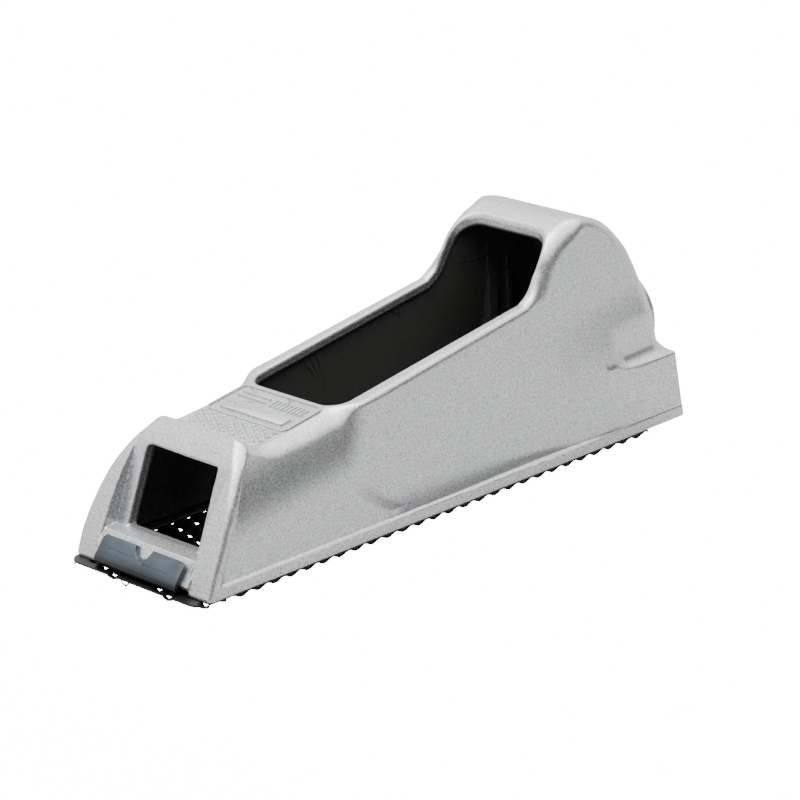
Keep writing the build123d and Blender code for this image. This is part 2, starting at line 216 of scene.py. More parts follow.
def casting(x, y, z):
    """Signed distance to the whole casting, negative in the metal."""
    skin = outer(x, y, z)
    panel = behind_panel(x, z)
    hollow = skin + WALL
    hollow = round_and(hollow, WALL - panel, 1.5)
    hollow = round_and(hollow, 8.6 - x, 1.0)
    hollow = round_and(hollow, x - 141.7 - np.clip(z - 10, 0, 20) * 0.6, 2.0)
    pad = np.maximum(np.hypot(y, z - SCREW_Z) - BOSS_R * 0.8, 143.6 - x)
    hollow = round_and(hollow, -pad, 0.8)
    metal = round_and(skin, -hollow, 0.5)
    # Top opening.
    mid, half = (OPEN_FRONT + OPEN_REAR) / 2, (OPEN_REAR - OPEN_FRONT) / 2
    r = np.where(x < mid, 4.7, 6.2)
    opening = box_distance(x - mid, y, half, OPEN_HALF, r)
    opening = np.maximum(opening, 22.0 - z)
    metal = round_and(metal, -opening, 0.9)
    # Recess between the cheeks, and the window in it.
    recess = round_and(np.abs(y) - CHEEK_Y, panel, 0.3)
    metal = round_and(metal, -recess, 0.4)
    low = SILL - 0.8                                # the hook bar fills this again, up to the sill
    window = box_distance(y, z - (low + WINDOW_TOP) / 2, WINDOW_HALF, (WINDOW_TOP - low) / 2, 0.8)
    window = np.maximum(window, x - 21.0)
    metal = round_and(metal, -window, 0.35)
    # Hook bar.
    bar = outline_distance(x, z, [(3.0, 7.0), (6.5, SILL), (8.6, SILL), (8.6, 1.1), (-0.1, 1.1), (-0.7, 2.2)])
    bar = round_and(bar + 0.1, np.abs(y) - CHEEK_Y - 0.5, 0.3)
    metal = round_or(metal, bar, 0.4)
    slot = np.maximum(np.abs(y) - 13.6, z - 1.1)
    slot = np.maximum(slot, x - 13.0)
    metal = np.maximum(metal, -slot)
    # Guide ribs inside the palm rest.
    rib = np.minimum(np.abs(x - 125.4) - 1.5, np.abs(x - 131.2) - 0.8)
    rib = np.maximum(np.maximum(rib, 14.6 - np.abs(y)), np.maximum(skin + 1.5, 9 - z))
    metal = np.minimum(metal, rib)
    # Screw seat and hole.
    along = np.hypot(y, z - SCREW_Z)
    seat = np.maximum(along - 5.2, BODY_LENGTH + BOSS_PROUD - 3.8 - x)
    hole = np.maximum(along - SHANK_R - 0.3, 130.0 - x)
    metal = round_and(metal, -seat, 0.25)
    metal = np.maximum(metal, -hole)
    # Flat sole.
    return round_and(metal, -z, 0.35)


def sampled(field, at, low, step):
    """Field values at points, between grid samples."""
    q = (at - low) / step
    i = np.clip(np.floor(q).astype(int), 0, np.array(field.shape) - 2)
    f = q - i
    out = 0
    for dx in (0, 1):
        for dy in (0, 1):
            for dz in (0, 1):
                weight = (np.where(dx, f[:, 0], 1 - f[:, 0]) * np.where(dy, f[:, 1], 1 - f[:, 1])
                          * np.where(dz, f[:, 2], 1 - f[:, 2]))
                out = out + weight * field[i[:, 0] + dx, i[:, 1] + dy, i[:, 2] + dz]
    return out


def skin_mesh(form, low, high, step):
    """Closed quad mesh round a form: one point in each grid cell that its surface crosses."""
    counts = np.ceil((np.array(high) - low) / step).astype(int) + 1
    axes = [low[i] + step * np.arange(counts[i]) for i in range(3)]
    half = counts[1] // 2
    y_half = axes[1][half:]
    field = form(axes[0][:, None, None], y_half[None, :, None], axes[2][None, None, :])
    field = np.concatenate([field[:, :0:-1, :], field], axis=1)
    low = np.array([low[0], -y_half[-1], low[2]])
    axes[1] = np.concatenate([-y_half[:0:-1], y_half])
    inside = field < 0
    shape = np.array(field.shape)
    total = np.zeros((*(shape - 1), 3))
    hits = np.zeros(shape - 1, int)
    corners = np.stack(np.meshgrid(*axes, indexing="ij"), -1)
    for axis in range(3):
        a = [slice(None)] * 3
        b = [slice(None)] * 3
        a[axis], b[axis] = slice(0, -1), slice(1, None)
        fa, fb = field[tuple(a)], field[tuple(b)]
        cross = inside[tuple(a)] != inside[tuple(b)]
        t = np.where(cross, fa / np.where(cross, fa - fb, 1), 0)[..., None]
        point = corners[tuple(a)] * (1 - t) + corners[tuple(b)] * t
        point = np.where(cross[..., None], point, 0)
        others = [k for k in range(3) if k != axis]
        for du in (0, 1):
            for dv in (0, 1):
                s = [slice(None)] * 3
                s[others[0]] = slice(du, du + shape[others[0]] - 1)
                s[others[1]] = slice(dv, dv + shape[others[1]] - 1)
                total += point[tuple(s)]
                hits += cross[tuple(s)]
    used = hits > 0
    index = np.full(used.shape, -1)
    index[used] = np.arange(used.sum())
    verts = total[used] / hits[used][:, None]
    faces = []
    for axis in range(3):
        a = [slice(1, -1)] * 3
        b = [slice(1, -1)] * 3
        a[axis], b[axis] = slice(0, -1), slice(1, None)
        ia, ib = inside[tuple(a)], inside[tuple(b)]
        cells = np.argwhere(ia != ib)
        out = ia[tuple(cells.T)]
        base = cells + 1
        base[:, axis] -= 1
        u, v = [k for k in range(3) if k != axis]
        quad = []
        for du, dv in ((-1, -1), (0, -1), (0, 0), (-1, 0)):
            c = base.copy()
            c[:, u] += du
            c[:, v] += dv
            quad.append(index[tuple(c.T)])
        quad = np.stack(quad, 1)
        flip = out if axis != 1 else ~out
        quad[~flip] = quad[~flip][:, ::-1]
        faces.append(quad)
    faces = np.concatenate(faces)
    for _ in range(2):
        e = 0.5 * step
        value = sampled(field, verts, low, step)
        slope = np.stack([
            (sampled(field, verts + d, low, step) - sampled(field, verts - d, low, step)) / (2 * e)
            for d in np.eye(3) * e
        ], 1)
        size = (slope ** 2).sum(1)
        move = value / np.maximum(size, 0.2)
        verts = verts - np.clip(move, -step / 2, step / 2)[:, None] * slope
    return verts, faces


def mesh_object(name, verts, faces):
    mesh = bpy.data.meshes.new(name)
    mesh.vertices.add(len(verts))
    mesh.vertices.foreach_set("co", np.asarray(verts, float).ravel())
    mesh.loops.add(faces.size)
    mesh.loops.foreach_set("vertex_index", faces.ravel())
    mesh.polygons.add(len(faces))
    mesh.polygons.foreach_set("loop_start", np.arange(0, faces.size, faces.shape[1]))
    mesh.polygons.foreach_set("loop_total", np.full(len(faces), faces.shape[1]))
    mesh.update(calc_edges=True)
    obj = bpy.data.objects.new(name, mesh)
    bpy.context.scene.collection.objects.link(obj)
    return obj


def finish_with(obj, kind, **settings):
    """Adds a modifier and applies it."""
    bpy.ops.object.select_all(action="DESELECT")
    bpy.context.view_layer.objects.active = obj
    obj.select_set(True)
    modifier = obj.modifiers.new(kind.title(), kind)
    for key, value in settings.items():
        setattr(modifier, key, value)
    bpy.ops.object.modifier_apply(modifier=modifier.name)


def at_surface(points):
    """The casting's field and slope at points."""
    e = 0.04
    value = casting(*points.T)
    slope = np.stack([
        (casting(*(points + d).T) - casting(*(points - d).T)) / (2 * e) for d in np.eye(3) * e
    ], 1)
    return value, slope


def mesh_normals(mesh):
    normals = np.empty(len(mesh.vertices) * 3)
    mesh.vertex_normals.foreach_get("vector", normals)
    return normals.reshape(-1, 3)


def corner_normals(mesh, normals):
    """Smooth normals from the true surface, except where a large flat face meets a rounded edge."""
    count = len(mesh.polygons)
    flat, area = np.empty(count * 3), np.empty(count)
    sizes, corners = np.empty(count, int), np.empty(len(mesh.loops), int)
    mesh.polygons.foreach_get("normal", flat)
    mesh.polygons.foreach_get("area", area)
    mesh.polygons.foreach_get("loop_total", sizes)
    mesh.loops.foreach_get("vertex_index", corners)
    face = np.repeat(np.arange(count), sizes)
    flat = flat.reshape(-1, 3)[face]
    span = smooth(np.sqrt(area[face]) / MM, 0.3, 0.8)
    agrees = (flat * normals[corners]).sum(1)
    keep = smooth(agrees, 0.5 + 0.47 * span, 0.7 + 0.29 * span)[:, None]
    mixed = normals[corners] * keep + flat * (1 - keep)
    mixed = mixed / np.linalg.norm(mixed, axis=1)[:, None]
    mesh.polygons.foreach_set("use_smooth", np.ones(count, bool))
    mesh.normals_split_custom_set(mixed.tolist())


def bare_depth(points):
    """1 where the casting's inside is black, 0 where the silver paint reaches."""
    x, y, z = points.T
    skin = outer(x, y, z)
    panel = np.where(np.abs(y) < CHEEK_Y + 0.6, -behind_panel(x, z), -9)
    depth = -np.maximum(skin, np.where(panel > -6, panel, -9))
    black = smooth(depth, PAINT_REACH - 0.2, PAINT_REACH + 0.2)
    black = black * smooth(x, 8.4, 8.9)
    return black * smooth(z, 0.3, 0.6)


def make_casting():
    step = CASTING_STEP
    verts, faces = skin_mesh(casting, (-2.0, -23.2, -0.9), (154.6, 23.2, 56.2), step)
    obj = mesh_object("casting", (verts + [TOE, 0, SOLE]) * MM, faces)
    count = len(faces) * 2
    if count > CASTING_TRIANGLES:
        finish_with(obj, "DECIMATE", ratio=CASTING_TRIANGLES / count, use_symmetry=True, symmetry_axis="Y")
    # The thinned points go back onto the true surface, which then gives the corner normals.
    mesh = obj.data
    points = np.empty(len(mesh.vertices) * 3)
    mesh.vertices.foreach_get("co", points)
    points = points.reshape(-1, 3) / MM - [TOE, 0, SOLE]
    for _ in range(2):
        plain = mesh_normals(mesh)
        value, slope = at_surface(points)
        length = np.maximum(np.linalg.norm(slope, axis=1), 1e-6)
        agrees = (plain * slope).sum(1) / length > 0.93
        move = np.clip(value / length, -0.12, 0.12) * agrees
        points = points - (move / length)[:, None] * slope
        mesh.vertices.foreach_set("co", ((points + [TOE, 0, SOLE]) * MM).ravel())
        mesh.update()
    value, slope = at_surface(points)
    slope = slope / np.maximum(np.linalg.norm(slope, axis=1), 1e-6)[:, None]
    corner_normals(mesh, slope)
    inside = mesh.attributes.new("inside", "FLOAT", "POINT")
    inside.data.foreach_set("value", bare_depth(points))
    mesh.update()
    return obj


casting_piece = make_casting()
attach(casting_piece, "casting")
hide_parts("body")


# ------------------------------------------------------------------------- finishes
def speckle_group():
    """Fine grain of sprayed or blackened metal: a mottled value and a fine relief."""
    group = bpy.data.node_groups.new("fine_grain", "ShaderNodeTree")
    group.interface.new_socket("Scale", in_out="INPUT", socket_type="NodeSocketFloat")
    group.interface.new_socket("Relief", in_out="OUTPUT", socket_type="NodeSocketFloat")
    group.interface.new_socket("Mottle", in_out="OUTPUT", socket_type="NodeSocketFloat")
    nodes, links = group.nodes, group.links
    entry = nodes.new("NodeGroupInput")
    leave = nodes.new("NodeGroupOutput")
    place = nodes.new("ShaderNodeTexCoord")
    fine = nodes.new("ShaderNodeTexNoise")
    fine.inputs["Detail"].default_value = 3
    fine.inputs["Roughness"].default_value = 0.65
    broad_scale = nodes.new("ShaderNodeMath")
    broad_scale.operation = "MULTIPLY"
    broad_scale.inputs[1].default_value = 0.12
    broad = nodes.new("ShaderNodeTexNoise")
    broad.inputs["Detail"].default_value = 2
    links.new(place.outputs["Object"], fine.inputs["Vector"])
    links.new(place.outputs["Object"], broad.inputs["Vector"])
    links.new(entry.outputs["Scale"], fine.inputs["Scale"])
    links.new(entry.outputs["Scale"], broad_scale.inputs[0])
    links.new(broad_scale.outputs[0], broad.inputs["Scale"])
    links.new(fine.outputs["Fac"], leave.inputs["Relief"])
    links.new(broad.outputs["Fac"], leave.inputs["Mottle"])
    return group


fine_grain = speckle_group()


def finish(name, rough, metal, grain_scale, relief, depth_mm):
    """A material with a grained surface; its colour is left to the caller."""
    m = bpy.data.materials.new(name)
    m.use_nodes = True
    nodes, links = m.node_tree.nodes, m.node_tree.links
    shader = nodes["Principled BSDF"]
    shader.inputs["Roughness"].default_value = rough
    shader.inputs["Metallic"].default_value = metal
    grain = nodes.new("ShaderNodeGroup")
    grain.node_tree = fine_grain
    grain.inputs["Scale"].default_value = grain_scale
    bump = nodes.new("ShaderNodeBump")
    bump.inputs["Strength"].default_value = relief
    bump.inputs["Distance"].default_value = depth_mm * MM
    links.new(grain.outputs["Relief"], bump.inputs["Height"])
    links.new(bump.outputs["Normal"], shader.inputs["Normal"])
    return m, nodes, links, shader, grain


def tint(nodes, links, value, low, high, spread=(0.3, 0.7)):
    """Colour that goes from low to high as a value goes over a spread."""
    ramp = nodes.new("ShaderNodeValToRGB")
    ramp.color_ramp.elements[0].position = spread[0]
    ramp.color_ramp.elements[1].position = spread[1]
    ramp.color_ramp.elements[0].color = (*low, 1)
    ramp.color_ramp.elements[1].color = (*high, 1)
    links.new(value, ramp.inputs["Fac"])
    return ramp.outputs["Color"]


def blend_by(nodes, links, factor, kind, first, second):
    """Mix of two colours or values by a factor; plain numbers or sockets."""
    mix = nodes.new("ShaderNodeMix")
    mix.data_type = kind
    a, b = (6, 7) if kind == "RGBA" else (2, 3)
    for socket, value in ((a, first), (b, second)):
        if hasattr(value, "links"):
            links.new(value, mix.inputs[socket])
        else:
            mix.inputs[socket].default_value = value
    links.new(factor, mix.inputs[0])
    return mix.outputs[2 if kind == "RGBA" else 0]


def silver_paint():
    """Metallic silver paint outside, black inside the shell."""
    m, nodes, links, shader, grain = finish("silver_paint", 0.4, 0.9, 2300, 0.55, 0.1)
    dull, bright = (0.37, 0.38, 0.395), (0.8, 0.81, 0.825)
    silver = tint(nodes, links, grain.outputs["Relief"], dull, bright, (0.32, 0.68))
    edge = nodes.new("ShaderNodeAttribute")
    edge.attribute_name = "inside"
    black = (0.06, 0.06, 0.057, 1)
    links.new(blend_by(nodes, links, edge.outputs["Fac"], "RGBA", silver, black), shader.inputs["Base Color"])
    links.new(blend_by(nodes, links, edge.outputs["Fac"], "FLOAT", 0.88, 0.0), shader.inputs["Metallic"])
    links.new(blend_by(nodes, links, edge.outputs["Fac"], "FLOAT", 0.34, 0.5), shader.inputs["Roughness"])
    return m


def blackened_steel():
    m, nodes, links, shader, grain = finish("black_oxide", 0.38, 0.1, 1400, 0.2, 0.03)
    shader.inputs["Specular IOR Level"].default_value = 0.3
    colour = tint(nodes, links, grain.outputs["Mottle"], (0.004, 0.004, 0.0045), (0.011, 0.01, 0.0095))
    links.new(colour, shader.inputs["Base Color"])
    return m


def tempered_steel():
    """Spring strip in its blue-grey temper colour. Towards the fold it is darkened to a near-black brown as
    painted shade, where the strip curves under.
    """
    m, nodes, links, shader, grain = finish("tempered_steel", 0.33, 0.85, 900, 0.12, 0.03)
    blue = tint(nodes, links, grain.outputs["Mottle"], (0.055, 0.075, 0.095), (0.105, 0.125, 0.145))
    place = nodes.new("ShaderNodeTexCoord")
    split = nodes.new("ShaderNodeSeparateXYZ")
    links.new(place.outputs["Object"], split.inputs[0])
    # Painted shade: from 1 mm to 4.2 mm above the sole the colour goes from near black to blue-grey, standing
    # in for the shade where the strip curves under.
    rise = nodes.new("ShaderNodeMapRange")
    rise.inputs["From Min"].default_value = (SOLE + 1.0) * MM
    rise.inputs["From Max"].default_value = (SOLE + 4.2) * MM
    links.new(split.outputs["Z"], rise.inputs["Value"])
    painted_fold_shade = (0.02, 0.016, 0.018, 1)
    links.new(blend_by(nodes, links, rise.outputs[0], "RGBA", painted_fold_shade, blue), shader.inputs["Base Color"])
    return m


def zinc_plate():
    m, nodes, links, shader, grain = finish("zinc_plate", 0.3, 1.0, 1100, 0.15, 0.03)
    colour = tint(nodes, links, grain.outputs["Mottle"], (0.5, 0.5, 0.47), (0.64, 0.64, 0.62))
    links.new(colour, shader.inputs["Base Color"])
    return m


PAINT = silver_paint()
BLACK = blackened_steel()
TEMPERED = tempered_steel()
ZINC = zinc_plate()
casting_piece.data.materials.append(PAINT)


# --------------------------------------------------------------- shaping by hand
def clear():
    """Nothing selected, and out of edit mode."""
    if bpy.context.object and bpy.context.object.mode == "EDIT":
        bpy.ops.object.mode_set(mode="OBJECT")
    bpy.ops.object.select_all(action="DESELECT")


def edit(obj):
    clear()
    bpy.context.view_layer.objects.active = obj
    obj.select_set(True)
    bpy.ops.object.mode_set(mode="EDIT")
    bpy.ops.mesh.select_mode(type="VERT")


def pick(test):
    """Selects, in edit mode, the points whose place in mm passes a test."""
    mesh = bmesh.from_edit_mesh(bpy.context.object.data)
    for v in mesh.verts:
        v.select = test(*(v.co / MM))
    mesh.select_flush(True)
    mesh.select_flush(False)
    bmesh.update_edit_mesh(bpy.context.object.data)


def shift(x=0.0, y=0.0, z=0.0):
    bpy.ops.transform.translate(value=(x * MM, y * MM, z * MM))


def pull(x=0.0, y=0.0, z=0.0):
    """Extrudes what is selected."""
    bpy.ops.mesh.extrude_region_move(TRANSFORM_OT_translate={"value": (x * MM, y * MM, z * MM)})


def leave():
    bpy.ops.object.mode_set(mode="OBJECT")


def copy_to(obj, name, move):
    """Copy of a piece with its own mesh, moved by whole millimetre values."""
    twin = obj.copy()
    twin.data = obj.data.copy()
    twin.name = twin.data.name = name
    bpy.context.scene.collection.objects.link(twin)
    twin.data.transform(Matrix.Translation(Vector(move) * MM))
    return twin


def join(name, pieces):
    clear()
    for p in pieces:
        p.select_set(True)
    bpy.context.view_layer.objects.active = pieces[0]
    bpy.ops.object.join()
    whole = bpy.context.object
    whole.name = whole.data.name = name
    return whole


def settle(obj):
    """The piece's place goes into its mesh."""
    clear()
    bpy.context.view_layer.objects.active = obj
    obj.select_set(True)
    bpy.ops.object.transform_apply(location=True, rotation=True, scale=True)


def dress(obj, material, body, slot, *nodes, angle=35):
    """Finish, smooth shading and the body that the piece moves with."""
    clear()
    bpy.context.view_layer.objects.active = obj
    obj.select_set(True)
    bpy.ops.object.shade_smooth_by_angle(angle=math.radians(angle))
    obj.data.materials.clear()
    obj.data.materials.append(material)
    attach(obj, body)
    if nodes:
        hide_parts(*nodes)


# -------------------------------------------------------------- marks on the deck
DECK_TILT = -math.atan(RIM_SLOPE)


def lay_on_deck(obj, x):
    """Takes a piece made flat round the origin to a place on the sloping deck."""
    obj.rotation_euler = (0, DECK_TILT, 0)
    obj.location = Vector((TOE + x, 0, SOLE + deck(x) - 0.04)) * MM
    settle(obj)


def knurl():
    """Grip pad: staggered rows of blunt diamonds."""
    clear()
    bpy.ops.mesh.primitive_cone_add(vertices=4, radius1=1.0 * MM, radius2=0.3 * MM, depth=0.8 * MM,
                                    location=(0, 0, 0.4 * MM))
    stud = bpy.context.object
    stud.scale = (0.85, 1.15, 1)
    settle(stud)
    finish_with(stud, "BEVEL", width=0.09 * MM, segments=2, limit_method="ANGLE")
    studs = []
    for row in range(KNURL_ROWS):
        offset = 0.5 * KNURL_PITCH * (row % 2)
        for k in range(-4, 5):
            y = k * KNURL_PITCH + offset
            if abs(y) < KNURL_HALF:
                studs.append(copy_to(stud, "stud", ((row - KNURL_ROWS / 2) * KNURL_STEP, y, 0)))
    bpy.data.objects.remove(stud)
    pad = join("deck_knurl", studs)
    lay_on_deck(pad, 28.1)
    dress(pad, PAINT, "casting", "body_paint")


def raised_plate(name, x, y, length, width, height, corner, rim=0.0):
    """Low plate cast on the deck, or only its rim; x and y are from the label's middle."""
    clear()
    bpy.ops.mesh.primitive_plane_add(size=1, location=(x * MM, y * MM, 0))
    plate = bpy.context.object
    plate.name = plate.data.name = name
    plate.scale = (length * MM, width * MM, 1)
    settle(plate)
    edit(plate)
    bpy.ops.mesh.select_all(action="SELECT")
    bpy.ops.mesh.bevel(offset=corner * MM, segments=4, affect="VERTICES")
    if rim:
        bpy.ops.mesh.select_all(action="SELECT")
        bpy.ops.mesh.inset(thickness=rim * MM)
        bpy.ops.mesh.delete(type="FACE")
    bpy.ops.mesh.select_all(action="SELECT")
    pull(z=height)
    bpy.ops.mesh.select_all(action="SELECT")
    bpy.ops.mesh.normals_make_consistent(inside=False)
    leave()
    finish_with(plate, "BEVEL", width=min(0.08, height / 3) * MM, segments=2, limit_method="ANGLE")
    return plate


def label():
    """Plain cast label: a border, a blank bar and a small ribbed block."""
    parts = [
        raised_plate("border", 0, 0, 12.6, 25.4, 0.42, 1.6, rim=0.4),
        raised_plate("bar", -2.7, 0, 3.4, 20.0, 0.5, 0.5),
        raised_plate("line", 3.6, 6.0, 0.5, 9.0, 0.42, 0.2),
        raised_plate("line", 1.9, 6.0, 0.5, 9.0, 0.42, 0.2),
    ]
    for k in range(9):
        parts.append(raised_plate("rib", 2.5, -10.0 + 1.2 * k, 3.0, 0.55, 0.44, 0.18))
    whole = join("deck_label", parts)
    lay_on_deck(whole, 37.6)
    dress(whole, PAINT, "casting", "body_paint")


KNURL_ROWS = 6
KNURL_STEP = 1.0
KNURL_PITCH = 3.2
KNURL_HALF = 12.0
knurl()
label()


# ----------------------------------------------------------------------- rasp blade
PITCH_X = 4.845                        # from tooth to tooth along a column
PITCH_Y = 4.5                          # from column to column
COLUMN_SHIFT = 1.3
COLUMNS = 10
SHEET = 0.45                           # sheet thickness at the teeth
TOOTH_DEEP = 1.05                      # the scoop's lip under the sheet's top
SCOOP_LENGTH = 2.1
SCOOP_HALF = 1.3
LIP_X = 5.3                            # first lip of the first column, from the toe
BLADE_CORNER = 3.5
EDGE_BAND = 1.3                        # width of the toothed band along each long edge
EDGE_DEEP = 0.95


def slice_at(x=None, y=None, away=None, clear_side=False):
    """Cuts the sheet along a line, and clears what lies beyond it if asked."""
    if away is None:
        away = (1, 0) if x is not None else (0, 1)
    bpy.ops.mesh.select_all(action="SELECT")
    bpy.ops.mesh.bisect(plane_co=((x or 0) * MM, (y or 0) * MM, 0), plane_no=(*away, 0),
                        clear_outer=clear_side, threshold=0.001 * MM)


def tooth_cell():
    """One cell of the sheet with its scooped tooth; the cells tile in both directions."""
    clear()
    bpy.ops.mesh.primitive_plane_add(size=1)
    cell = bpy.context.object
    cell.scale = (PITCH_X * MM, PITCH_Y * MM, 1)
    settle(cell)
    lip = PITCH_X / 2 - 1.6
    rows = [lip - SCOOP_LENGTH * (1 - k / 3) for k in range(4)]
    edit(cell)
    for x in rows:
        slice_at(x=x)
    for y in (-SCOOP_HALF, -0.7, 0, 0.7, SCOOP_HALF):
        slice_at(y=y)
    # The sheet is slit at the lip, and the tongue in front of the slit is pressed down.
    pick(lambda x, y, z: abs(x - lip) < 0.01 and abs(y) < SCOOP_HALF + 0.01)
    bpy.ops.mesh.edge_split(type="EDGE")
    for row, depth in zip(rows[1:], (0.42, 0.78, 1.0)):
        for low, high, share in ((-0.1, 0.1, 1.0), (0.6, 0.8, 0.76)):
            mesh = bmesh.from_edit_mesh(cell.data)
            for v in mesh.verts:
                on_tongue = all(f.calc_center_median().x < lip * MM for f in v.link_faces)
                here = abs(v.co.x / MM - row) < 0.01 and low < abs(v.co.y / MM) < high
                v.select = here and on_tongue or (here and row < lip - 0.01)
            mesh.select_flush(True)
            mesh.select_flush(False)
            bmesh.update_edit_mesh(cell.data)
            shift(z=-TOOTH_DEEP * depth * share)
    # The long edges step towards the heel from column to column.
    for side in (-1, 1):
        pick(lambda x, y, z: abs(y - side * PITCH_Y / 2) < 0.01)
        shift(x=side * COLUMN_SHIFT / 2)
    leave()
    return cell, lip


def toothed_edge(side, front, rear, half):
    """Band under one long edge of the sheet, pressed down in a row of rounded teeth."""
    clear()
    bpy.ops.mesh.primitive_plane_add(size=1)
    band = bpy.context.object
    band.scale = (PITCH_X * MM, EDGE_BAND * MM, 1)
    settle(band)
    edit(band)
    for k in range(1, 10):
        slice_at(x=(k / 10 - 0.5) * PITCH_X)
    for k in range(11):
        pick(lambda x, y, z: abs(x - (k / 10 - 0.5) * PITCH_X) < 0.01 and side * y > 0)
        shift(z=-0.1 - EDGE_DEEP * math.cos(math.pi * (k / 10 - 0.5)) ** 2)
    leave()
    count = int((rear - front) / PITCH_X)
    finish_with(band, "ARRAY", count=count, use_relative_offset=False, use_constant_offset=True,
                constant_offset_displace=(PITCH_X * MM, 0, 0))
    band.data.transform(Matrix.Translation(Vector((
        TOE + LIP_X + PITCH_X - 0.35, side * (half - EDGE_BAND / 2 - 0.01), SOLE - 0.1)) * MM))
    edit(band)
    bpy.ops.mesh.select_all(action="SELECT")
    bpy.ops.mesh.remove_doubles(threshold=0.02 * MM)
    slice_at(x=rear - BLADE_CORNER, away=(1, 0), clear_side=True)
    bpy.ops.mesh.select_all(action="SELECT")
    bpy.ops.mesh.normals_make_consistent(inside=False)
    leave()
    if band.data.polygons[0].normal.z < 0:
        band.data.flip_normals()
    finish_with(band, "SOLIDIFY", thickness=0.4 * MM, offset=-1)
    edit(band)
    pick(lambda x, y, z: side * y > half - 0.02)
    bpy.ops.transform.resize(value=(1, 0, 1), center_override=(0, side * (half - 0.01) * MM, 0))
    leave()
    return band


def rasp_blade():
    front, rear = blade_low.x / MM, blade_high.x / MM
    half = blade_high.y / MM
    cell, lip = tooth_cell()
    count = int((rear - front) / PITCH_X) + 4
    finish_with(cell, "ARRAY", count=count, use_relative_offset=False, use_constant_offset=True,
                constant_offset_displace=(PITCH_X * MM, 0, 0))
    columns = []
    for k in range(COLUMNS):
        first = TOE + LIP_X + (COLUMN_SHIFT * k) % PITCH_X - 3 * PITCH_X - lip
        columns.append(copy_to(cell, "column", (first, (k - (COLUMNS - 1) / 2) * PITCH_Y, SOLE)))
    bpy.data.objects.remove(cell)
    sheet = join("rasp_blade", columns)
    edit(sheet)
    bpy.ops.mesh.select_all(action="SELECT")
    bpy.ops.mesh.remove_doubles(threshold=0.02 * MM)
    for side in (-1, 1):
        slice_at(y=side * half, away=(0, side), clear_side=True)
    slice_at(x=front, away=(-1, 0), clear_side=True)
    slice_at(x=rear, away=(1, 0), clear_side=True)
    for end, way in ((front, -1), (rear, 1)):
        for side in (-1, 1):
            for turn in (15, 45, 75):
                away = Vector((way * math.cos(math.radians(turn)), side * math.sin(math.radians(turn))))
                spot = Vector((end - way * BLADE_CORNER, side * (half - BLADE_CORNER))) + away * BLADE_CORNER
                slice_at(x=spot.x, y=spot.y, away=tuple(away), clear_side=True)
    leave()
    finish_with(sheet, "SOLIDIFY", thickness=SHEET * MM, offset=-1)
    # Its thickness leaves every cut edge upright and inside the blade's outline.
    edit(sheet)
    for end, way in ((front, -1), (rear, 1)):
        pick(lambda x, y, z: way * (x - end) > 0)
        bpy.ops.transform.resize(value=(0, 1, 1), center_override=(end * MM, 0, 0))
    for side in (-1, 1):
        pick(lambda x, y, z: side * y > half)
        bpy.ops.transform.resize(value=(1, 0, 1), center_override=(0, side * half * MM, 0))
    leave()
    sheet = join("rasp_blade", [sheet] + [toothed_edge(side, front, rear, half) for side in (-1, 1)])
    dress(sheet, BLACK, "blade_unit", "blade_black", "blade", angle=50)


rasp_blade()


# ------------------------------------------------------------------- hooked strips
STRIP = 1.0                            # thickness
STRIP_HALF = 13.15
STRIP_FOOT = 11.0
STRIP_LEAN = 4.8                       # the leg leans in over the foot
STRIP_RISE = 5.9                       # from the foot's middle to the leg's top
CURL = 1.3                             # fold radius, at the strip's middle
NOTCH = 2.7


def cut_with(piece, cutter):
    clear()
    finish_with(piece, "BOOLEAN", object=cutter, operation="DIFFERENCE", solver="EXACT")
    bpy.data.objects.remove(cutter)


def hooked_strip(name, node, knee, side):
    """Spring strip folded into a hook; side is +1 where it opens towards the heel."""
    lean = math.atan2(STRIP_RISE, STRIP_LEAN)
    tangent = CURL / math.tan(lean / 2)
    base = SOLE + STRIP / 2
    clear()
    middle = knee + side * (tangent + STRIP_FOOT) / 2
    bpy.ops.mesh.primitive_plane_add(size=1, location=Vector((middle, 0, base)) * MM)
    strip = bpy.context.object
    strip.name = strip.data.name = name
    strip.scale = ((STRIP_FOOT - tangent) * MM, 2 * STRIP_HALF * MM, 1)
    settle(strip)
    edit(strip)
    # Foot, fold and leg.
    start = knee + side * tangent
    pick(lambda x, y, z: abs(x - start) < 0.05)
    bpy.ops.mesh.spin(steps=10, angle=-side * (math.pi - lean), axis=(0, 1, 0),
                      center=Vector((start, 0, base + CURL)) * MM)
    run = math.hypot(STRIP_LEAN, STRIP_RISE) - tangent
    pull(x=side * run * math.cos(lean), z=run * math.sin(lean))
    bpy.ops.mesh.bevel(offset=1.3 * MM, segments=5, affect="VERTICES")
    bpy.ops.mesh.select_all(action="SELECT")
    bpy.ops.mesh.normals_make_consistent(inside=False)
    leave()
    finish_with(strip, "SOLIDIFY", thickness=STRIP * MM, offset=0)
    top = SOLE + STRIP_RISE + STRIP / 2
    if side > 0:
        bpy.ops.mesh.primitive_cylinder_add(vertices=64, radius=NOTCH * MM, depth=20 * MM,
                                            rotation=(0, math.pi / 2, 0),
                                            location=Vector((knee, 0, top + 0.7)) * MM)
        cut_with(strip, bpy.context.object)
        # Two thin grooves scored into the leg's face.
        out = Vector((-math.sin(lean), 0, math.cos(lean)))
        for y, up in ((6.2, 0.62), (-5.4, 0.52)):
            spot = Vector((knee + STRIP_LEAN * up, y, base + STRIP_RISE * up)) + out * STRIP / 2
            bpy.ops.mesh.primitive_cube_add(size=1, location=spot * MM, rotation=(0, -lean, 0),
                                            scale=(0.26 * MM, 7.6 * MM, 0.3 * MM))
            cut_with(strip, bpy.context.object)
    finish_with(strip, "BEVEL", width=0.09 * MM, segments=2, limit_method="ANGLE",
                angle_limit=math.radians(40))
    dress(strip, TEMPERED, "blade_unit", "anchor_steel", node, angle=32)


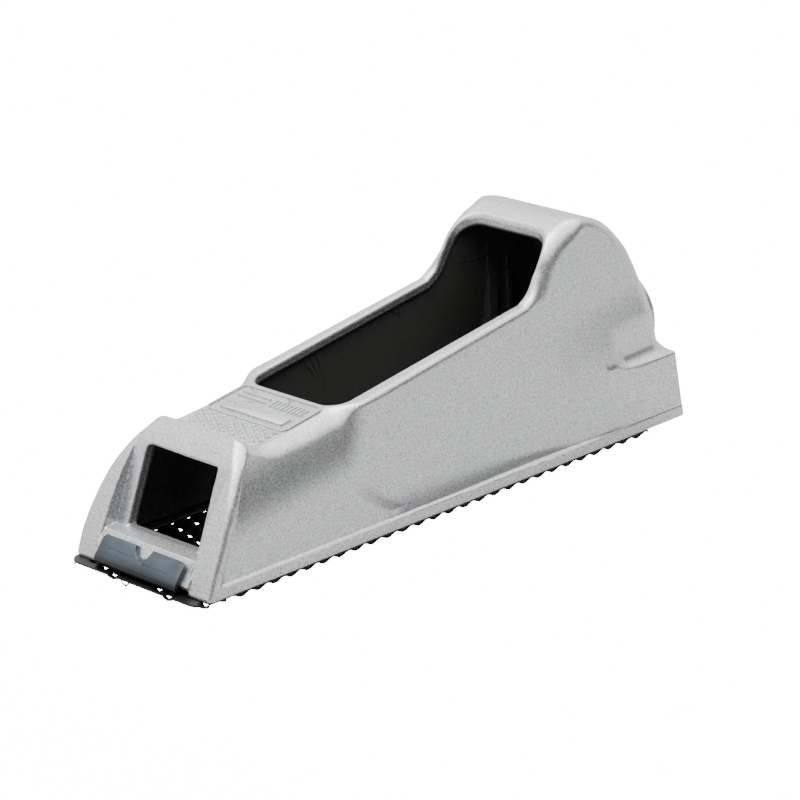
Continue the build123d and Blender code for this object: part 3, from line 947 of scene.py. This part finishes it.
front_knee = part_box("front_anchor")[0].x / MM
rear_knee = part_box("rear_anchor")[1].x / MM
fold_reach = CURL / math.tan(math.atan2(STRIP_RISE, STRIP_LEAN) / 2) - CURL - STRIP / 2
hooked_strip("front_strip", "front_anchor", front_knee - fold_reach, 1)
hooked_strip("rear_strip", "rear_anchor", rear_knee + fold_reach, -1)


# ------------------------------------------------------------------ blade tensioner
def refined(node, name, edge, body):
    """Copy of a plain piece of the frame with its edges broken."""
    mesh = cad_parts[node].data.copy()
    mesh.name = name
    piece = bpy.data.objects.new(name, mesh)
    bpy.context.scene.collection.objects.link(piece)
    edit(piece)
    bpy.ops.mesh.select_all(action="SELECT")
    bpy.ops.mesh.remove_doubles(threshold=0.005 * MM)
    bpy.ops.mesh.dissolve_limited(angle_limit=math.radians(1))
    leave()
    finish_with(piece, "BEVEL", width=edge * MM, segments=2, limit_method="ANGLE",
                angle_limit=math.radians(40))
    dress(piece, ZINC, body, "zinc_steel", node)


def tension_screw():
    """Slotted cheese-head screw with its thread, along the casting's length."""
    tip, end = screw_low.x / MM, screw_high.x / MM
    height = SCREW_Z + SOLE
    seat = end - HEAD_HEIGHT
    across = (0, math.pi / 2, 0)
    clear()
    bpy.ops.mesh.primitive_cylinder_add(vertices=72, radius=HEAD_R * MM, depth=HEAD_HEIGHT * MM,
                                        rotation=across,
                                        location=Vector((seat + HEAD_HEIGHT / 2, 0, height)) * MM)
    head = bpy.context.object
    settle(head)
    bpy.ops.mesh.primitive_cube_add(size=1, location=Vector((end, 0, height)) * MM,
                                    scale=(2.4 * MM, 12 * MM, 1.0 * MM))
    cut_with(head, bpy.context.object)
    finish_with(head, "BEVEL", width=0.25 * MM, segments=3, limit_method="ANGLE",
                angle_limit=math.radians(40))
    bpy.ops.mesh.primitive_cylinder_add(vertices=48, radius=CORE_R * MM, depth=(seat - tip) * MM,
                                        rotation=across,
                                        location=Vector(((seat + tip) / 2, 0, height)) * MM)
    core = bpy.context.object
    settle(core)
    finish_with(core, "BEVEL", width=0.5 * MM, segments=2, limit_method="ANGLE", angle_limit=math.radians(40))
    # Thread: a small triangle turned along the shank.
    bpy.ops.mesh.primitive_circle_add(vertices=3, radius=0.3 * MM, fill_type="NGON",
                                      rotation=(math.pi / 2, 0, 0),
                                      location=Vector((0, 0, SHANK_R - 0.3)) * MM)
    thread = bpy.context.object
    settle(thread)
    finish_with(thread, "SCREW", axis="X", screw_offset=THREAD_PITCH * MM, steps=28, render_steps=28,
                iterations=int((seat - tip - 1.6) / THREAD_PITCH) - 1, use_merge_vertices=False)
    thread.data.transform(Matrix.Translation(Vector((tip + 1.0, 0, height)) * MM))
    whole = join("threaded_screw", [head, core, thread])
    edit(whole)
    bpy.ops.mesh.select_all(action="SELECT")
    bpy.ops.mesh.normals_make_consistent(inside=False)
    leave()
    dress(whole, ZINC, "screw_unit", "zinc_steel", "tension_screw")


HEAD_R = 4.0
HEAD_HEIGHT = 2.6
CORE_R = 1.7
THREAD_PITCH = 0.7
tension_screw()
refined("screw_washer", "plain_washer", 0.12, "screw_unit")
refined("tension_hook", "pull_hook", 0.22, "hook_unit")
refined("tension_nut", "square_nut", 0.25, "hook_unit")

# ------------------------------------------------------------------ floor and light
AZ, EL, ROLL = math.radians(-44.174), math.radians(19.59), math.radians(-2.017)
LENS = 158.95
DIST = 799.84                          # to the middle of the object, in mm
ASIDE, RAISED = -1.452, 0.475          # small offsets of the camera from its aim, in mm
AIM = Vector((77.0 + TOE, 0, 20.0 + SOLE))


def camera():
    back = Vector((math.sin(AZ) * math.cos(EL), -math.cos(AZ) * math.cos(EL), math.sin(EL)))
    level = Vector((math.cos(AZ), math.sin(AZ), 0))
    rise = back.cross(level)
    right = level * math.cos(ROLL) + rise * math.sin(ROLL)
    up = rise * math.cos(ROLL) - level * math.sin(ROLL)
    spot = AIM - (right * ASIDE + up * RAISED) + back * DIST
    data = bpy.data.cameras.new("camera")
    data.lens = LENS
    data.sensor_width = 36
    data.clip_start, data.clip_end = 0.05, 20
    cam = bpy.data.objects.new("camera", data)
    bpy.context.scene.collection.objects.link(cam)
    turn = Matrix((right, up, back)).transposed().to_4x4()
    turn.translation = spot * MM
    cam.matrix_world = turn
    bpy.context.scene.camera = cam


def white_floor():
    """Pale sweep that reads as clean white and still takes a faint shadow. Beyond the toe its colour is
    painted dark, as painted shade for the nose to reflect.
    """
    clear()
    bpy.ops.mesh.primitive_plane_add(size=6, location=(0, 0, -0.0002))
    floor = bpy.context.object
    floor.name = "floor"
    m = bpy.data.materials.new("floor")
    m.use_nodes = True
    nodes, links = m.node_tree.nodes, m.node_tree.links
    shader = nodes["Principled BSDF"]
    place = nodes.new("ShaderNodeTexCoord")
    split = nodes.new("ShaderNodeSeparateXYZ")
    links.new(place.outputs["Object"], split.inputs[0])
    # Painted shade: the floor's colour is dark beyond the toe, so the nose's cheeks reflect shade there. The
    # camera still sees the floor white.
    painted_shade_past_toe = ranged(nodes, links, split.outputs["X"], -0.13, -0.05)
    grey = blend_by(nodes, links, painted_shade_past_toe, "RGBA", (0.1, 0.1, 0.1, 1), (0.5, 0.5, 0.5, 1))
    links.new(grey, shader.inputs["Base Color"])
    shader.inputs["Roughness"].default_value = 0.9
    shader.inputs["Emission Color"].default_value = (1, 1, 1, 1)
    seen = nodes.new("ShaderNodeLightPath")
    glow = nodes.new("ShaderNodeMath")
    glow.operation = "MULTIPLY"
    glow.inputs[1].default_value = FLOOR_GLOW
    links.new(seen.outputs["Is Camera Ray"], glow.inputs[0])
    links.new(glow.outputs[0], shader.inputs["Emission Strength"])
    floor.data.materials.append(m)


def ranged(nodes, links, value, low, high):
    """Smooth 0 to 1 as a value goes from low to high."""
    step = nodes.new("ShaderNodeMapRange")
    step.interpolation_type = "SMOOTHSTEP"
    step.inputs["From Min"].default_value = low
    step.inputs["From Max"].default_value = high
    links.new(value, step.inputs["Value"])
    return step.outputs[0]


def studio():
    """White tent, with a dark side low in front of the casting's right side."""
    world = bpy.data.worlds.new("world")
    bpy.context.scene.world = world
    world.use_nodes = True
    nodes, links = world.node_tree.nodes, world.node_tree.links
    place = nodes.new("ShaderNodeTexCoord")
    split = nodes.new("ShaderNodeSeparateXYZ")
    links.new(place.outputs["Generated"], split.inputs[0])
    toward = ranged(nodes, links, split.outputs["Y"], -0.15, -0.5)
    low = ranged(nodes, links, split.outputs["Z"], 0.72, 0.5)
    both = nodes.new("ShaderNodeMath")
    both.operation = "MULTIPLY"
    links.new(toward, both.inputs[0])
    links.new(low, both.inputs[1])
    above = ranged(nodes, links, split.outputs["Z"], 0.62, 0.8)
    tent = blend_by(nodes, links, above, "RGBA", (*[TENT] * 3, 1), (*[OVERHEAD] * 3, 1))
    tent = blend_by(nodes, links, both.outputs[0], "RGBA", tent, (*[DARK_SIDE] * 3, 1))
    seen = nodes.new("ShaderNodeLightPath")
    sky = blend_by(nodes, links, seen.outputs["Is Camera Ray"], "RGBA", tent, (*[FLOOR_GLOW] * 3, 1))
    links.new(sky, nodes["Background"].inputs["Color"])


def lamp(name, spot, aim, size, power):
    data = bpy.data.lights.new(name, "AREA")
    data.size = size
    data.energy = power
    obj = bpy.data.objects.new(name, data)
    bpy.context.scene.collection.objects.link(obj)
    obj.location = spot
    obj.rotation_euler = (Vector(aim) - Vector(spot)).to_track_quat("-Z", "Y").to_euler()


FLOOR_GLOW = 16.0
TENT = 1.5
OVERHEAD = 3.2
DARK_SIDE = 0.04
camera()
white_floor()
studio()
lamp("softbox_top", (-0.1, 0.15, 0.9), (0, 0, 0.02), 0.5, 6)
